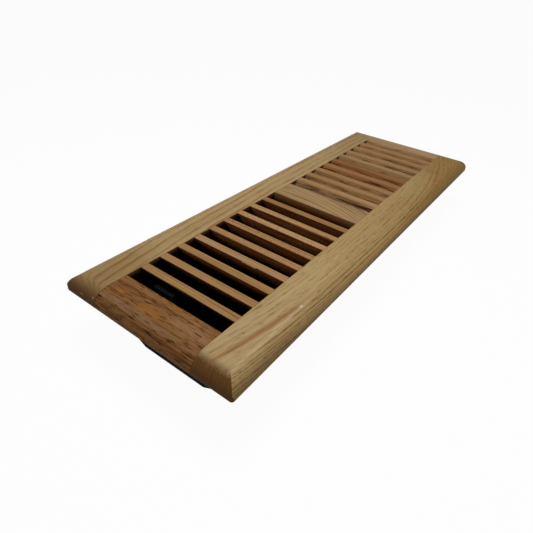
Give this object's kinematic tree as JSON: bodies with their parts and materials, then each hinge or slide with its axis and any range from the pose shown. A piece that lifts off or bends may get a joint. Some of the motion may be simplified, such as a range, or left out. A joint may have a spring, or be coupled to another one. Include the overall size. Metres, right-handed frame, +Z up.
{
  "type": "floor register",
  "caption": "Louvred oak floor register: leaning slats in an eased-edge frame over a black damper box with linked vanes and a ridged thumb tab.",
  "frame": {"origin": "middle of the box that holds the whole register, on the plane its damper box stands on", "axes": "+X across the register, +Y along it away from the thumb tab's end, +Z up out of the floor"},
  "size_m": [0.1396, 0.3938, 0.0538],
  "materials": {
    "oak_frame": "satin clear coat on oak",
    "oak_slats": "satin clear coat on oak",
    "damper_plastic": "matt black moulded plastic",
    "screw_steel": "plated steel"
  },
  "bodies": {
    "frame": {"side_rail_left": "oak_frame", "side_rail_right": "oak_frame", "end_rail_front": "oak_frame", "end_rail_rear": "oak_frame", "centre_bar": "oak_frame", "slat_01": "oak_slats", "slat_02": "oak_slats", "slat_03": "oak_slats", "slat_04": "oak_slats", "slat_05": "oak_slats", "slat_06": "oak_slats", "slat_07": "oak_slats", "slat_08": "oak_slats", "slat_09": "oak_slats", "slat_10": "oak_slats", "slat_11": "oak_slats", "slat_12": "oak_slats", "slat_13": "oak_slats", "slat_14": "oak_slats", "slat_15": "oak_slats", "slat_16": "oak_slats", "slat_17": "oak_slats", "slat_18": "oak_slats", "damper_box": "damper_plastic", "damper_screws": "screw_steel"},
    "vane_left": {"vane_left": "damper_plastic"},
    "vane_centre": {"vane_centre": "damper_plastic"},
    "vane_right": {"vane_right": "damper_plastic"},
    "tie_bar": {"tie_bar": "damper_plastic"}
  },
  "joints": [
    {"name": "vane_left_hinge", "type": "hinge", "parent": "frame", "child": "vane_left", "pos_m": [-0.03042, 0, 0.01784], "axis": [0, 1, 0], "range_deg": [0, 90]},
    {"name": "vane_centre_hinge", "type": "hinge", "parent": "frame", "child": "vane_centre", "pos_m": [0, 0, 0.01784], "axis": [0, 1, 0], "range_deg": [0, 90]},
    {"name": "vane_right_hinge", "type": "hinge", "parent": "frame", "child": "vane_right", "pos_m": [0.03042, 0, 0.01784], "axis": [0, 1, 0], "range_deg": [0, 90]},
    {"name": "tie_bar_pivot", "type": "hinge", "parent": "vane_left", "child": "tie_bar", "pos_m": [-0.03926, -0.1621, 0.02668], "axis": [0, 1, 0], "range_deg": [-90, 0]}
  ],
  "couplings": [
    {"joint": "vane_centre_hinge", "follows": "vane_left_hinge", "ratio": 1},
    {"joint": "vane_right_hinge", "follows": "vane_left_hinge", "ratio": 1},
    {"joint": "tie_bar_pivot", "follows": "vane_left_hinge", "ratio": -1}
  ]
}
